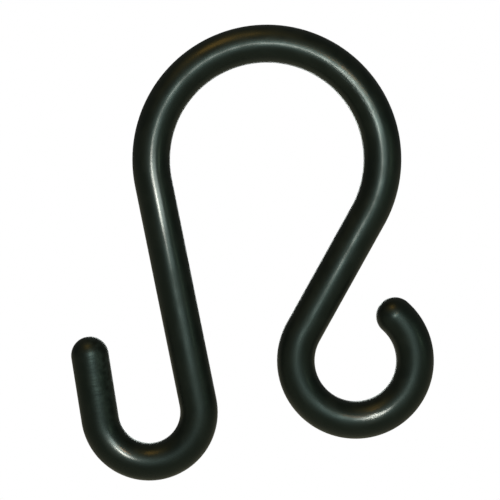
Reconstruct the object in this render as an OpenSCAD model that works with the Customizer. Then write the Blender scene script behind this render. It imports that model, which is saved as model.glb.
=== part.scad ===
// Bucket hook: one round bar in one plane, with a domed end at each tip.
//
// It hangs from its large arch. The left leg runs down from the arch into an open J-hook for a
// bucket's bail. The right leg runs back under the arch into a nearly closed curl for a line.
// Every bend is tangent to the straights beside it, so the bar flows from end to end.
//
// Frame: the origin is the rail seat, the underside of the arch at its crown. +Z is up and +X is
// to the right of the front view. The bar's thickness lies along Y, and the front faces -Y.
// Lengths are in millimetres and angles in degrees.

/* [Bar] */
// Diameter of the round bar
bar_d = 12; // [8:0.5:14]

/* [Arch] */
// Inside diameter of the arch, which goes over the rail
arch_inner_d = 62; // [56:1:80]

/* [Left leg and J-hook] */
// Length of the left leg, the straight from the arch to the J-hook
left_leg_l = 72; // [40:1:100]
// Lean of the left leg from vertical, its foot towards the middle
left_leg_lean = 11.4; // [0:0.2:14]
// Inside diameter of the J-hook, which is the width of its gap
j_inner_d = 20; // [14:1:30]
// Angle that the J-hook turns through
j_turn = 182.5; // [150:0.5:186]
// Length of the straight between the J-hook's bend and its domed end
j_tip_l = 21; // [5:1:40]

/* [Right leg and curl] */
// Length of the right leg, the straight from the arch to the curl
right_leg_l = 42.5; // [34:0.5:60]
// Lean of the right leg from vertical, its foot towards the middle
right_leg_lean = 29; // [20:0.5:31]
// Inside diameter of the curl
curl_inner_d = 26.2; // [20:0.2:32]
// Angle that the curl turns through
curl_turn = 257.5; // [200:0.5:265]

/* [Hidden] */
$fn = 48;

bar_r = bar_d / 2;

// Each straight runs this far into the bends at its ends, so that the bar joins up as one solid
lap = 0.2;
// ... and is this much slimmer than the bends all round, so that those laps stay inside them
slim = 0.01;

// Radii of the bends, measured to the bar's centreline
arch_r = arch_inner_d / 2 + bar_r;
j_r = j_inner_d / 2 + bar_r;
curl_r = curl_inner_d / 2 + bar_r;

// The centreline lies in the XZ plane, so its points are written as [x, z]. Angles turn from +X
// towards +Z.
function heading(angle) = [cos(angle), sin(angle)];
function in_plane(point) = [point[0], 0, point[1]];

// Arch: its centre is straight below the rail seat, and it ends where each leg leaves it
arch_centre = [0, -arch_inner_d / 2];
arch_left_end = 180 + left_leg_lean;
arch_right_end = -right_leg_lean;

// Left leg, from the arch down to the J-hook
left_leg_top = arch_centre + arch_r * heading(arch_left_end);
left_leg_foot = left_leg_top + left_leg_l * heading(arch_left_end + 90);

// J-hook: it turns clockwise from the left leg's foot, away from the middle, and up into its tip
j_centre = left_leg_foot + j_r * heading(arch_left_end);
j_leg_end = arch_left_end - 180;
j_tip_end = j_leg_end - j_turn;
j_tip_root = j_centre + j_r * heading(j_tip_end);
j_tip_top = j_tip_root + j_tip_l * heading(j_tip_end - 90);

// Right leg, from the arch down and under it to the curl
right_leg_top = arch_centre + arch_r * heading(arch_right_end);
right_leg_foot = right_leg_top + right_leg_l * heading(arch_right_end - 90);

// Curl: it turns counterclockwise from the right leg's foot, and its end faces back to the leg
curl_centre = right_leg_foot + curl_r * heading(arch_right_end);
curl_leg_end = arch_right_end + 180;
curl_tip_end = curl_leg_end + curl_turn;

// A domed end: half a ball that bulges along +Z
module dome(r) {
    rotate_extrude()
        intersection() {
            circle(r = r);
            square(r);
        }
}

// A straight of the bar between two points of the centreline, with a dome at its far end or a
// bend at both ends
module straight(from, to, domed = false) {
    run = to - from;
    length = norm(run);
    r = bar_r - slim;
    translate(in_plane(from))
        rotate([0, 90 - atan2(run[1], run[0]), 0]) {
            translate([0, 0, -lap])
                cylinder(h = lap + length + (domed ? 0 : lap), r = r);
            if (domed)
                translate([0, 0, length])
                    dome(r);
        }
}

// A bend of the bar about a centre, through a turn that is positive counterclockwise, with a
// dome at the end where it starts or a straight at both ends
module bend(centre, radius, from, turn, domed = false) {
    way = sign(turn);
    translate(in_plane(centre))
        rotate([way * 90, 0, 0])
            rotate([0, 0, way * from]) {
                rotate_extrude(angle = abs(turn))
                    translate([radius, 0])
                        circle(r = bar_r);
                if (domed)
                    translate([radius, 0, 0])
                        rotate([90, 0, 0])
                            dome(bar_r);
            }
}

// The whole hook, from the J-hook's tip over the arch to the curl
module hook() {
    color("#24282a") {
        straight(j_tip_root, j_tip_top, domed = true);
        bend(j_centre, j_r, j_leg_end, -j_turn);
        straight(left_leg_top, left_leg_foot);
        bend(arch_centre, arch_r, arch_right_end, arch_left_end - arch_right_end);
        straight(right_leg_top, right_leg_foot);
        bend(curl_centre, curl_r, curl_tip_end, -curl_turn, domed = true);
    }
}

hook();
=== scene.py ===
import math

import bpy
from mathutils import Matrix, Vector


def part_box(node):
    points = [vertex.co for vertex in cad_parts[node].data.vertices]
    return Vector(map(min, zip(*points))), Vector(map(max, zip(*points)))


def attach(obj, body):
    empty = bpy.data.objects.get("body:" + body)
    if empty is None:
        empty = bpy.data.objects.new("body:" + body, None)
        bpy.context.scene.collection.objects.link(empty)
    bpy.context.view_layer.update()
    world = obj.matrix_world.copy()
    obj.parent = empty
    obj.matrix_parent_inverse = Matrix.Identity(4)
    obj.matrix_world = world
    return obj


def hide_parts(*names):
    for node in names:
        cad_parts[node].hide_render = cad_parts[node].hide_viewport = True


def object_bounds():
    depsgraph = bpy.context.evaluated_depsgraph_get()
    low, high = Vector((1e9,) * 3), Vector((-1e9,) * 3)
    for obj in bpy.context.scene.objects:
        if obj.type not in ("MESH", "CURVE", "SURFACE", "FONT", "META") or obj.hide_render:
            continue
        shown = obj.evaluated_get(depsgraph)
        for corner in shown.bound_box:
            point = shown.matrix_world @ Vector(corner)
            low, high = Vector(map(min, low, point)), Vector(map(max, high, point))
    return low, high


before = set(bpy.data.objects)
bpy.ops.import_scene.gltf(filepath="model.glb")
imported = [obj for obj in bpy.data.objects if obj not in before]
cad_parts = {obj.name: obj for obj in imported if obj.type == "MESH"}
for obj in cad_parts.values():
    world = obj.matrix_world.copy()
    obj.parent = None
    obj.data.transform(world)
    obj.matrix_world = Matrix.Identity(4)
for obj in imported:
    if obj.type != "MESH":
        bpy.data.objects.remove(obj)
cad_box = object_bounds()


# ---------------------------------------------------------------------------
# The bucket hook: one round bar of injection-moulded black nylon, with an arch
# over the rail, a J-hook for the bail and a nearly closed curl for a line. It
# is one piece, and it hangs from the crown of its arch.
# ---------------------------------------------------------------------------

MM = 0.001
# The radii of the bends go to the bar's centreline, and a lean is from the vertical.
BAR_R = (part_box("hook")[1].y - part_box("hook")[0].y) / 2
J_R = 16 * MM
J_TURN = math.radians(182.5)
J_TIP_L = 21 * MM
LEFT_LEG_L = 72 * MM
LEFT_LEG_LEAN = math.radians(11.4)
ARCH_R = 37 * MM
RIGHT_LEG_L = 42.5 * MM
RIGHT_LEG_LEAN = math.radians(29)
CURL_R = 19.1 * MM
CURL_TURN = math.radians(257.5)

# Stations along the centreline, from the crown of the arch.
ARCH_FROM = -ARCH_R * (math.pi / 2 + LEFT_LEG_LEAN)
ARCH_TO = ARCH_R * (math.pi / 2 + RIGHT_LEG_LEAN)
J_TO = ARCH_FROM - LEFT_LEG_L
J_FROM = J_TO - J_R * J_TURN
TIP_END = J_FROM - J_TIP_L - BAR_R
CURL_FROM = ARCH_TO + RIGHT_LEG_L
CURL_TO = CURL_FROM + CURL_R * CURL_TURN
CURL_END = CURL_TO + BAR_R

RINGS = 480
# The tube is rolled up from a sheet with one more row of points than this, and its last row is welded to
# its first.
SIDES = 96
# Share by which the rings crowd towards the two ends, where the domes are.
RING_CROWDING = 0.9
# Share by which the sides crowd towards the parting line.
SIDE_CROWDING = 0.8
# The witness line that the two halves of the mould leave all round, in the plane of the hook.
WITNESS_H = 0.05 * MM
WITNESS_W = 0.12 * MM
WELD = 0.001 * MM


def add(tree, kind, inputs=None, **settings):
    """Adds a node. An input is a value, a socket to link, or a node whose first output is linked."""
    made = tree.nodes.new(kind)
    for name, value in settings.items():
        setattr(made, name, value)
    for socket, value in (inputs or {}).items():
        if isinstance(value, bpy.types.Node):
            value = value.outputs[0]
        if isinstance(value, bpy.types.NodeSocket):
            tree.links.new(value, made.inputs[socket])
        else:
            made.inputs[socket].default_value = value
    return made


def new_tree(name, inputs):
    """A geometry tree with named inputs, and the sockets that give them out."""
    tree = bpy.data.node_groups.new(name, "GeometryNodeTree")
    for label, kind in inputs:
        tree.interface.new_socket(label, in_out="INPUT", socket_type="NodeSocket" + kind)
    tree.interface.new_socket("Geometry", in_out="OUTPUT", socket_type="NodeSocketGeometry")
    return tree, add(tree, "NodeGroupInput").outputs


def bend_tree():
    """Bends a straight bar along X between two stations, about a centre above or below where it is held."""
    labels = ("Station", "From", "To", "Held at", "Radius")
    tree, given = new_tree("bend", [("Geometry", "Geometry")] + [(label, "Float") for label in labels])
    within = add(tree, "ShaderNodeClamp",
                 {"Value": given["Station"], "Min": given["From"], "Max": given["To"]})
    rolled = add(tree, "ShaderNodeMath", {0: within, 1: given["Held at"]}, operation="SUBTRACT")
    back = add(tree, "ShaderNodeCombineXYZ", {"X": rolled})
    start = add(tree, "ShaderNodeVectorMath", {0: add(tree, "GeometryNodeInputPosition"), 1: back},
                operation="SUBTRACT")
    centre = add(tree, "ShaderNodeCombineXYZ", {"X": given["Held at"], "Z": given["Radius"]})
    turn = add(tree, "ShaderNodeMath", {0: rolled, 1: given["Radius"]}, operation="DIVIDE")
    turned = add(tree, "ShaderNodeVectorRotate",
                 {"Vector": start, "Center": centre, "Angle": turn}, rotation_type="Y_AXIS", invert=True)
    bent = add(tree, "GeometryNodeSetPosition", {"Geometry": given["Geometry"], "Position": turned})
    add(tree, "NodeGroupOutput", {0: bent})
    return tree


def crowded(tree, share, waves, crowding):
    """A share from 0 to 1 whose steps are shorter at the ends of each wave."""
    pace = 2 * math.pi * waves
    phase = add(tree, "ShaderNodeMath", {0: share, 1: pace}, operation="MULTIPLY")
    swing = add(tree, "ShaderNodeMath", {0: phase}, operation="SINE")
    return add(tree, "ShaderNodeMath", {0: swing, 1: -crowding / pace, 2: share}, operation="MULTIPLY_ADD")


def bar_tree():
    """A straight round bar with domed ends, bent to the J-hook, the curl and then the arch."""
    bends = ("J", "Curl", "Arch")
    labels = ["Bar radius", "Tip end", "Curl end", "Witness height", "Witness width"]
    labels += [f"{bend} {what}" for bend in bends for what in ("from", "to", "held at", "radius")]
    tree, given = new_tree("bent_bar", [("Rings", "Int"), ("Sides", "Int")]
                           + [(label, "Float") for label in labels] + [("Material", "Material")])
    radius = given["Bar radius"]

    # A sheet of faces, one row for each ring, to be rolled into a tube.
    sheet = add(tree, "GeometryNodeMeshGrid",
                {"Size X": 1.0, "Size Y": 1.0, "Vertices X": given["Rings"], "Vertices Y": given["Sides"]})
    share = add(tree, "ShaderNodeSeparateXYZ", {0: sheet.outputs["UV Map"]}).outputs
    station = add(tree, "ShaderNodeMapRange",
                  {"Value": crowded(tree, share["X"], 1, RING_CROWDING),
                   "To Min": given["Tip end"], "To Max": given["Curl end"]})
    angle = add(tree, "ShaderNodeMath", {0: crowded(tree, share["Y"], 2, SIDE_CROWDING), 1: 2 * math.pi},
                operation="MULTIPLY")

    # How far a ring lies into a dome, as a share of the bar's radius, and what is left of the radius there.
    tip_centre = add(tree, "ShaderNodeMath", {0: given["Tip end"], 1: radius}, operation="ADD")
    curl_centre = add(tree, "ShaderNodeMath", {0: given["Curl end"], 1: radius}, operation="SUBTRACT")
    core = add(tree, "ShaderNodeClamp", {"Value": station, "Min": tip_centre, "Max": curl_centre})
    past = add(tree, "ShaderNodeMath", {0: station, 1: core}, operation="SUBTRACT")
    along = add(tree, "ShaderNodeMath", {0: past, 1: radius}, operation="DIVIDE")
    square = add(tree, "ShaderNodeMath", {0: along, 1: along}, operation="MULTIPLY")
    rest = add(tree, "ShaderNodeMath", {0: 1.0, 1: square}, operation="SUBTRACT")
    across = add(tree, "ShaderNodeMath", {0: rest}, operation="SQRT")

    # The outward direction at each point, and the low ridge where the two halves of the mould met.
    sine = add(tree, "ShaderNodeMath", {0: angle}, operation="SINE")
    cosine = add(tree, "ShaderNodeMath", {0: angle}, operation="COSINE")
    aside = add(tree, "ShaderNodeMath", {0: across, 1: sine}, operation="MULTIPLY")
    upward = add(tree, "ShaderNodeMath", {0: across, 1: cosine}, operation="MULTIPLY")
    outward = add(tree, "ShaderNodeCombineXYZ", {"X": along, "Y": aside, "Z": upward})
    from_seam = add(tree, "ShaderNodeMath", {0: aside, 1: radius}, operation="MULTIPLY")
    widths = add(tree, "ShaderNodeMath", {0: from_seam, 1: given["Witness width"]}, operation="DIVIDE")
    spread = add(tree, "ShaderNodeMath", {0: widths, 1: 2.0}, operation="POWER")
    fall = add(tree, "ShaderNodeMath", {0: spread, 1: -1.0}, operation="MULTIPLY")
    seam = add(tree, "ShaderNodeMath", {0: fall}, operation="EXPONENT")
    reach = add(tree, "ShaderNodeMath", {0: seam, 1: given["Witness height"], 2: radius},
                operation="MULTIPLY_ADD")
    skin = add(tree, "ShaderNodeVectorMath", {0: outward, "Scale": reach}, operation="SCALE")
    place = add(tree, "ShaderNodeVectorMath", {0: skin, 1: add(tree, "ShaderNodeCombineXYZ", {"X": core})},
                operation="ADD")
    tube = add(tree, "GeometryNodeSetPosition", {"Geometry": sheet, "Position": place})
    welded = add(tree, "GeometryNodeMergeByDistance", {"Geometry": tube, "Distance": WELD})

    # The finish follows the bar, so each point keeps its place on the straight one.
    straight = add(tree, "GeometryNodeStoreNamedAttribute",
                   {"Geometry": welded, "Name": "straight", "Value": add(tree, "GeometryNodeInputPosition")},
                   data_type="FLOAT_VECTOR", domain="POINT")
    kept = add(tree, "GeometryNodeInputNamedAttribute", {"Name": "straight"}, data_type="FLOAT_VECTOR")
    kept_station = add(tree, "ShaderNodeSeparateXYZ", {0: kept}).outputs["X"]
    shape = straight
    bend = bend_tree()
    for name in bends:
        step = add(tree, "GeometryNodeGroup", node_tree=bend)
        tree.links.new(shape.outputs[0], step.inputs["Geometry"])
        tree.links.new(kept_station, step.inputs["Station"])
        for what in ("From", "To", "Held at", "Radius"):
            tree.links.new(given[f"{name} {what.lower()}"], step.inputs[what])
        shape = step
    lifted = add(tree, "GeometryNodeSetPosition",
                 {"Geometry": shape, "Offset": add(tree, "ShaderNodeCombineXYZ", {"Z": radius})})
    smooth = add(tree, "GeometryNodeSetShadeSmooth", {0: lifted})
    whole = add(tree, "GeometryNodeRealizeInstances", {0: smooth})
    finished = add(tree, "GeometryNodeSetMaterial", {"Geometry": whole, "Material": given["Material"]})
    add(tree, "NodeGroupOutput", {0: finished})
    return tree


def grown(name, tree, values):
    """The plain mesh object that a geometry tree makes from these named values."""
    seed = bpy.data.objects.new(name + "_seed", bpy.data.meshes.new(name + "_seed"))
    bpy.context.scene.collection.objects.link(seed)
    modifier = seed.modifiers.new("shape", "NODES")
    modifier.node_group = tree
    for socket in tree.interface.items_tree:
        if socket.in_out == "INPUT" and socket.name in values:
            modifier[socket.identifier] = values[socket.name]
    evaluated = seed.evaluated_get(bpy.context.evaluated_depsgraph_get())
    mesh = bpy.data.meshes.new_from_object(evaluated)
    bpy.data.objects.remove(seed)
    mesh.name = name
    mesh.materials.clear()
    mesh.materials.append(values["Material"])
    mesh.polygons.foreach_set("material_index", [0] * len(mesh.polygons))
    piece = bpy.data.objects.new(name, mesh)
    bpy.context.scene.collection.objects.link(piece)
    return piece


def linear(code):
    """An sRGB hex colour as linear RGB and alpha."""
    shares = [int(code[i:i + 2], 16) / 255 for i in (1, 3, 5)]
    return [s / 12.92 if s <= 0.04045 else ((s + 0.055) / 1.055) ** 2.4 for s in shares] + [1.0]


# Nylon with a little carbon black, injection-moulded. The mould's dull skin spreads each lamp into a long
# soft streak with a cool tint, and the nylon's own gloss over it keeps a small bright core.
NYLON_BLACK = "#060906"
NYLON_PALE = "#0b0e0a"
NYLON_IOR = 1.53
SKIN_SPECULAR = 0.24
SKIN_TINT = "#d9ffff"
SKIN_ROUGHNESS = 0.45
SKIN_ROUGHNESS_SPREAD = 0.05
GLOSS_WEIGHT = 0.07
GLOSS_WEIGHT_SPREAD = 0.03
GLOSS_ROUGHNESS = 0.21
# Use rubs the skin bright where the bail swings, where both shoulders touch the rail, and where the line
# pulls. A bend's inner side is 1 where it lies above the straight bar and -1 below it. Polish is the gloss
# that the middle of the place gains, and scuffs is how deep the scuffs along the bar are there.
RUBBED_BY_BAIL = {"station": -178 * MM, "reach": 6 * MM, "inner": 1, "polish": 0.72, "scuffs": 0.0}
RUBBED_LEFT = {"station": -68.5 * MM, "reach": 12 * MM, "inner": -1, "polish": 0.74, "scuffs": 0.0}
RUBBED_RIGHT = {"station": 33 * MM, "reach": 20 * MM, "inner": -1, "polish": 0.22, "scuffs": 0.030 * MM}
RUBBED_BY_LINE = {"station": 165 * MM, "reach": 4.5 * MM, "inner": 1, "polish": 0.90, "scuffs": 0.030 * MM}
# The rubbing is on the inner side of each bend, and fades out across its middle, as shares of the radius.
INNER_FROM = -0.20
INNER_TO = 0.15
# The tip of the J-hook is knocked dull by every bail it picks up, with scuffs round the bar.
DULLED_STATION = -203 * MM
DULLED_REACH = 14 * MM
DULLED_SCUFFS = 0.045 * MM
# Painted sheen: pale teal patches on the inner side of that tip, where the noise is high, stand in for its
# patchy reflection.
PAINTED_SHEEN = "#1c2421"
SHEEN_PATCH_SIZE = 2 * MM
SHEEN_PATCH_FROM = 0.30
SHEEN_PATCH_TO = 0.80
# The right shoulder slides along the rail, and its skin is smoother over a longer place.
BURNISHED_STATION = 33 * MM
BURNISHED_REACH = 24 * MM
BURNISHED_BY = 0.12
# A smooth hairline scratch runs along the middle of the lower right leg and the start of the curl.
HAIRLINE_STATION = 125 * MM
HAIRLINE_REACH = 28 * MM
HAIRLINE_W = 0.16 * MM
HAIRLINE_BY = 0.15
# The rubbing shows on the front and the back of the bar, as shares of the radius away from the hook's plane.
RUBBED_FROM = 0.80
RUBBED_TO = 0.97
# The flash was scraped off along the parting line, and no marks are left beside it, by the same shares.
SCRAPED_FROM = 0.05
SCRAPED_TO = 0.40
# Flow marks: patches a little duller and paler than the rest, where the noise is high. The noise hardly
# leaves the range from the first limit to the second.
MOTTLE_SIZE = 6 * MM
MOTTLE_STRETCH = 0.6
MOTTLE_FROM = 0.30
MOTTLE_TO = 0.70
PALER_FROM = 0.42
PALER_TO = 0.66
# Tool marks of the mould run round the bar. The real ones are some 0.1 mm apart, drawn coarser so that they
# show.
TURNING_PITCH = 0.8 * MM
TURNING_LENGTH = 8 * MM
TURNING_RELIEF = 0.008 * MM
# Fine drag lines run along the bar, from drawing it out of the mould.
DRAG_PITCH = 0.35 * MM
DRAG_LENGTH = 9 * MM
DRAG_RELIEF = 0.006 * MM
# Scuffs along the bar, each about as wide as a grain of sand.
SCUFF_PITCH = 0.15 * MM
SCUFF_LENGTH = 6 * MM
# Spark-eroded grain of the mould, really about 0.05 mm, drawn coarser so that it shows.
GRAIN_SIZE = 0.6 * MM
GRAIN_RELIEF = 0.006 * MM
# One octave over the base keeps each pattern soft.
NOISE_DETAIL = 1.0
NOISE_ROUGHNESS = 0.5
# A Mix node's colour sockets by number, because its value and vector sockets have the same names.
MIX_A = 6
MIX_B = 7
MIX_RESULT = 2


def nearness(tree, value, middle, reach):
    """1 where a value is at the middle of its reach, falling smoothly to 0 past it."""
    away = add(tree, "ShaderNodeMath", {0: value, 1: middle}, operation="SUBTRACT")
    share = add(tree, "ShaderNodeMath", {0: away, 1: reach}, operation="DIVIDE")
    squared = add(tree, "ShaderNodeMath", {0: share, 1: share}, operation="MULTIPLY")
    fall = add(tree, "ShaderNodeMath", {0: squared, 1: -1.0}, operation="MULTIPLY")
    return add(tree, "ShaderNodeMath", {0: fall}, operation="EXPONENT")


def moulded_black_nylon():
    material = bpy.data.materials.new("moulded_black_nylon")
    material.use_nodes = True
    tree = material.node_tree
    shader = tree.nodes["Principled BSDF"]
    shader.inputs["IOR"].default_value = NYLON_IOR
    shader.inputs["Specular IOR Level"].default_value = SKIN_SPECULAR
    shader.inputs["Specular Tint"].default_value = linear(SKIN_TINT)
    shader.inputs["Coat Roughness"].default_value = GLOSS_ROUGHNESS
    straight = add(tree, "ShaderNodeAttribute", attribute_name="straight").outputs["Vector"]

    # Each pattern reads the straight bar, with its own pitch along it and across it.
    pitches = {
        "mottle": (MOTTLE_SIZE, MOTTLE_SIZE * MOTTLE_STRETCH),
        "sheen_patches": (SHEEN_PATCH_SIZE, SHEEN_PATCH_SIZE),
        "turning": (TURNING_PITCH, TURNING_LENGTH),
        "drag": (DRAG_LENGTH, DRAG_PITCH),
        "scuff": (SCUFF_LENGTH, SCUFF_PITCH),
        "grain": (GRAIN_SIZE, GRAIN_SIZE),
    }
    pattern = {}
    for name, (pitch_along, pitch_across) in pitches.items():
        per_pitch = (1 / pitch_along, 1 / pitch_across, 1 / pitch_across)
        spread = add(tree, "ShaderNodeVectorMath", {0: straight, 1: per_pitch}, operation="MULTIPLY")
        pattern[name] = add(tree, "ShaderNodeTexNoise",
                            {"Vector": spread, "Scale": 1.0, "Detail": NOISE_DETAIL,
                             "Roughness": NOISE_ROUGHNESS})

    # The rubbing fades along the bar, and round it towards the outer side of the bend and the hook's plane.
    place = add(tree, "ShaderNodeSeparateXYZ", {0: straight}).outputs
    rubbed = 0.0
    scuffs = 0.0
    for spot in (RUBBED_BY_BAIL, RUBBED_LEFT, RUBBED_RIGHT, RUBBED_BY_LINE):
        along = nearness(tree, place["X"], spot["station"], spot["reach"])
        inner = add(tree, "ShaderNodeMapRange",
                    {"Value": place["Z"], "From Min": spot["inner"] * INNER_FROM * BAR_R,
                     "From Max": spot["inner"] * INNER_TO * BAR_R})
        worn = add(tree, "ShaderNodeMath", {0: along, 1: inner}, operation="MULTIPLY")
        rubbed = add(tree, "ShaderNodeMath", {0: worn, 1: spot["polish"], 2: rubbed},
                     operation="MULTIPLY_ADD")
        scuffs = add(tree, "ShaderNodeMath", {0: worn, 1: spot["scuffs"], 2: scuffs},
                     operation="MULTIPLY_ADD")
    from_plane = add(tree, "ShaderNodeMath", {0: place["Y"]}, operation="ABSOLUTE")
    facing = add(tree, "ShaderNodeMapRange",
                 {"Value": from_plane, "From Min": RUBBED_FROM * BAR_R, "From Max": RUBBED_TO * BAR_R},
                 interpolation_type="SMOOTHSTEP")
    polish = add(tree, "ShaderNodeMath", {0: rubbed, 1: facing}, operation="MULTIPLY")
    patchy = add(tree, "ShaderNodeMapRange",
                 {"Value": pattern["mottle"], "From Min": MOTTLE_FROM, "From Max": MOTTLE_TO,
                  "To Min": GLOSS_WEIGHT + GLOSS_WEIGHT_SPREAD,
                  "To Max": GLOSS_WEIGHT - GLOSS_WEIGHT_SPREAD})
    dulled = nearness(tree, place["X"], DULLED_STATION, DULLED_REACH)
    kept_gloss = add(tree, "ShaderNodeMath", {0: 1.0, 1: dulled}, operation="SUBTRACT")
    gloss = add(tree, "ShaderNodeMath", {0: patchy, 1: kept_gloss, 2: polish}, operation="MULTIPLY_ADD")
    tree.links.new(gloss.outputs[0], shader.inputs["Coat Weight"])

    # The colour: paler flow marks, and a painted sheen in patches on the inner side of the dulled tip.
    paler = add(tree, "ShaderNodeMapRange",
                {"Value": pattern["mottle"], "From Min": PALER_FROM, "From Max": PALER_TO},
                interpolation_type="SMOOTHSTEP")
    mottled = add(tree, "ShaderNodeMix", {0: paler, MIX_A: linear(NYLON_BLACK), MIX_B: linear(NYLON_PALE)},
                  data_type="RGBA")
    # Painted sheen: pale teal patches on the inner side of the dulled tip, standing in for its reflection
    # there.
    above = add(tree, "ShaderNodeMapRange",
                {"Value": place["Z"], "From Min": INNER_FROM * BAR_R, "From Max": INNER_TO * BAR_R})
    cloud = add(tree, "ShaderNodeMapRange",
                {"Value": pattern["sheen_patches"], "From Min": SHEEN_PATCH_FROM, "From Max": SHEEN_PATCH_TO},
                interpolation_type="SMOOTHSTEP")
    sheen_clouds = add(tree, "ShaderNodeMath", {0: above, 1: cloud}, operation="MULTIPLY")
    painted_sheen = add(tree, "ShaderNodeMath", {0: dulled, 1: sheen_clouds}, operation="MULTIPLY")
    colour = add(tree, "ShaderNodeMix", {0: painted_sheen, MIX_A: mottled.outputs[MIX_RESULT], MIX_B: linear(PAINTED_SHEEN)},
                 data_type="RGBA")
    tree.links.new(colour.outputs[MIX_RESULT], shader.inputs["Base Color"])

    # The roughness: duller flow marks, the smoother right shoulder, and the hairline along the bar's middle.
    skin = add(tree, "ShaderNodeMapRange",
               {"Value": pattern["mottle"], "From Min": MOTTLE_FROM, "From Max": MOTTLE_TO,
                "To Min": SKIN_ROUGHNESS - SKIN_ROUGHNESS_SPREAD,
                "To Max": SKIN_ROUGHNESS + SKIN_ROUGHNESS_SPREAD})
    burnished = nearness(tree, place["X"], BURNISHED_STATION, BURNISHED_REACH)
    smoother = add(tree, "ShaderNodeMath", {0: burnished, 1: -BURNISHED_BY, 2: skin},
                   operation="MULTIPLY_ADD")
    scratched = nearness(tree, place["X"], HAIRLINE_STATION, HAIRLINE_REACH)
    middle_line = nearness(tree, place["Z"], 0.0, HAIRLINE_W)
    hairline = add(tree, "ShaderNodeMath", {0: scratched, 1: middle_line}, operation="MULTIPLY")
    rough = add(tree, "ShaderNodeMath", {0: hairline, 1: -HAIRLINE_BY, 2: smoother},
                operation="MULTIPLY_ADD")
    tree.links.new(rough.outputs[0], shader.inputs["Roughness"])

    # The relief: tool marks, deeper at the dulled tip, drag lines, scuffs in the rubbed places, and grain.
    ring_depth = add(tree, "ShaderNodeMath", {0: dulled, 1: DULLED_SCUFFS, 2: TURNING_RELIEF},
                     operation="MULTIPLY_ADD")
    rings = add(tree, "ShaderNodeMath", {0: pattern["turning"], 1: ring_depth}, operation="MULTIPLY")
    lined = add(tree, "ShaderNodeMath", {0: pattern["drag"], 1: DRAG_RELIEF, 2: rings},
                operation="MULTIPLY_ADD")
    scuff_depth = add(tree, "ShaderNodeMath", {0: scuffs, 1: facing}, operation="MULTIPLY")
    scuffed = add(tree, "ShaderNodeMath", {0: pattern["scuff"], 1: scuff_depth, 2: lined},
                  operation="MULTIPLY_ADD")
    relief = add(tree, "ShaderNodeMath", {0: pattern["grain"], 1: GRAIN_RELIEF, 2: scuffed},
                 operation="MULTIPLY_ADD")
    unscraped = add(tree, "ShaderNodeMapRange",
                    {"Value": from_plane, "From Min": SCRAPED_FROM * BAR_R, "From Max": SCRAPED_TO * BAR_R})
    bump = add(tree, "ShaderNodeBump", {"Height": relief, "Strength": unscraped, "Distance": 1.0})
    tree.links.new(bump.outputs[0], shader.inputs["Normal"])
    tree.links.new(bump.outputs[0], shader.inputs["Coat Normal"])
    return material


hook = grown("bucket_hook", bar_tree(), {
    "Rings": RINGS, "Sides": SIDES + 1, "Bar radius": BAR_R, "Tip end": TIP_END, "Curl end": CURL_END,
    "Witness height": WITNESS_H, "Witness width": WITNESS_W,
    "J from": J_FROM, "J to": J_TO, "J held at": J_TO, "J radius": J_R,
    "Curl from": CURL_FROM, "Curl to": CURL_TO, "Curl held at": CURL_FROM, "Curl radius": CURL_R,
    "Arch from": ARCH_FROM, "Arch to": ARCH_TO, "Arch held at": 0.0, "Arch radius": -ARCH_R,
    "Material": moulded_black_nylon(),
})
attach(hook, "root")
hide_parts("hook")


# ---------------------------------------------------------------------------
# The camera: a long lens 400 mm away, nearly level with the middle of the hook
# and square to its front.
# ---------------------------------------------------------------------------

AIM = Vector((-5.335, 0, -59.915)) * MM
CAMERA_DISTANCE = 400 * MM
CAMERA_AZIMUTH = math.radians(0.613)
CAMERA_ELEVATION = math.radians(1.158)
LENS = 89.88

camera = bpy.data.objects.new("camera", bpy.data.cameras.new("camera"))
bpy.context.scene.collection.objects.link(camera)
towards = Vector((math.sin(CAMERA_AZIMUTH) * math.cos(CAMERA_ELEVATION),
                  -math.cos(CAMERA_AZIMUTH) * math.cos(CAMERA_ELEVATION),
                  math.sin(CAMERA_ELEVATION)))
camera.location = AIM + CAMERA_DISTANCE * towards
camera.rotation_euler = towards.to_track_quat("Z", "Y").to_euler()
camera.data.lens = LENS
camera.data.clip_start = 10 * MM
bpy.context.scene.camera = camera


# ---------------------------------------------------------------------------
# The studio: a plain pale floor well below the hook, and a white sheet behind it.
# A lamp and a wide panel stand by the lens, two warm lamps above them, and a
# plain lamp each to the right of the hook and behind it.
# ---------------------------------------------------------------------------

FLOOR_DROP = 0.35
FLOOR_SIZE = 60.0
FLOOR_PAINT = "#dedbca"
FLOOR_SEEN = "#d0cdb0"
FLOOR_SEEN_SHARE = 0.45
SHEET_BEHIND = 1.0
SHEET_SIZE = 0.62
SHEET_PAINT = "#f0f0ee"
SHEET_SEEN = "#ffffff"
SHEET_SEEN_SHARE = 1.0
PAINT_ROUGHNESS = 0.9


def square_sheet(name, size, material):
    """A square sheet in the XY plane, facing up."""
    half = size / 2
    mesh = bpy.data.meshes.new(name)
    corners = [(-half, -half, 0), (half, -half, 0), (half, half, 0), (-half, half, 0)]
    mesh.from_pydata(corners, [], [(0, 1, 2, 3)])
    mesh.materials.append(material)
    made = bpy.data.objects.new(name, mesh)
    bpy.context.scene.collection.objects.link(made)
    return made


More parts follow.
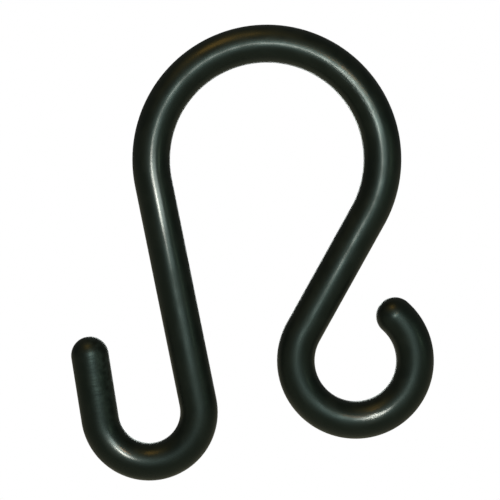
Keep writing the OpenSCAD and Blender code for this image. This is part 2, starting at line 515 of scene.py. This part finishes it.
def matt_paint(name, code, seen_share, seen_code):
    """Matt paint. To the camera and in reflections, a share of it is a plain colour that no lamp changes."""
    material = bpy.data.materials.new(name)
    material.use_nodes = True
    tree = material.node_tree
    shader = tree.nodes["Principled BSDF"]
    shader.inputs["Base Color"].default_value = linear(code)
    shader.inputs["Roughness"].default_value = PAINT_ROUGHNESS
    rays = add(tree, "ShaderNodeLightPath").outputs
    either = add(tree, "ShaderNodeMath", {0: rays["Is Camera Ray"], 1: rays["Is Glossy Ray"]},
                 operation="MAXIMUM")
    seen = add(tree, "ShaderNodeMath", {0: either, 1: rays["Is Transmission Ray"]}, operation="MAXIMUM")
    share = add(tree, "ShaderNodeMath", {0: seen, 1: seen_share}, operation="MULTIPLY")
    glow = add(tree, "ShaderNodeEmission", {"Color": linear(seen_code), "Strength": 1.0})
    surface = add(tree, "ShaderNodeMixShader", {0: share, 1: shader, 2: glow})
    tree.links.new(surface.outputs[0], tree.nodes["Material Output"].inputs["Surface"])
    return material


floor_paint = matt_paint("floor_paint", FLOOR_PAINT, FLOOR_SEEN_SHARE, FLOOR_SEEN)
floor = square_sheet("floor", FLOOR_SIZE, floor_paint)
floor.location.z = cad_box[0].z - FLOOR_DROP
sheet_paint = matt_paint("white_sheet", SHEET_PAINT, SHEET_SEEN_SHARE, SHEET_SEEN)
sheet = square_sheet("white_backdrop", SHEET_SIZE, sheet_paint)
sheet.location = AIM - SHEET_BEHIND * towards
sheet.rotation_euler = camera.rotation_euler


def lamp(name, place, width, height, watts, code):
    """A soft oval lamp at a place, turned to the hook."""
    light = bpy.data.lights.new(name, "AREA")
    light.shape = "ELLIPSE"
    light.size = width
    light.size_y = height
    light.energy = watts
    light.color = linear(code)[:3]
    made = bpy.data.objects.new(name, light)
    bpy.context.scene.collection.objects.link(made)
    made.location = place
    made.rotation_euler = (Vector(place) - AIM).to_track_quat("Z", "Y").to_euler()
    made.visible_camera = False
    return made


lamp("lens_lamp", place=(0.003, -0.399, -0.032), width=0.060, height=0.040, watts=0.70, code="#fffdf2")
lamp("side_panel", place=(0.085, -0.392, 0.002), width=0.20, height=0.14, watts=0.58, code="#ecfff8")
lamp("warm_lamp", place=(-0.162, -0.286, 0.443), width=0.24, height=0.24, watts=1.0, code="#ffbc58")
lamp("right_lamp", place=(0.466, -0.367, -0.004), width=0.11, height=0.11, watts=0.16, code="#e0ffd5")
lamp("warm_fill", place=(0.083, -0.390, 0.078), width=0.06, height=0.06, watts=0.20, code="#ffb878")
lamp("back_lamp", place=(-0.02, 0.60, -0.03), width=0.30, height=0.30, watts=1.6, code="#f4fff8")

WORLD_LIGHT = "#646762"
world = bpy.data.worlds.new("world")
bpy.context.scene.world = world
world.use_nodes = True
world.node_tree.nodes["Background"].inputs["Color"].default_value = linear(WORLD_LIGHT)

bpy.context.scene.view_settings.view_transform = "Standard"
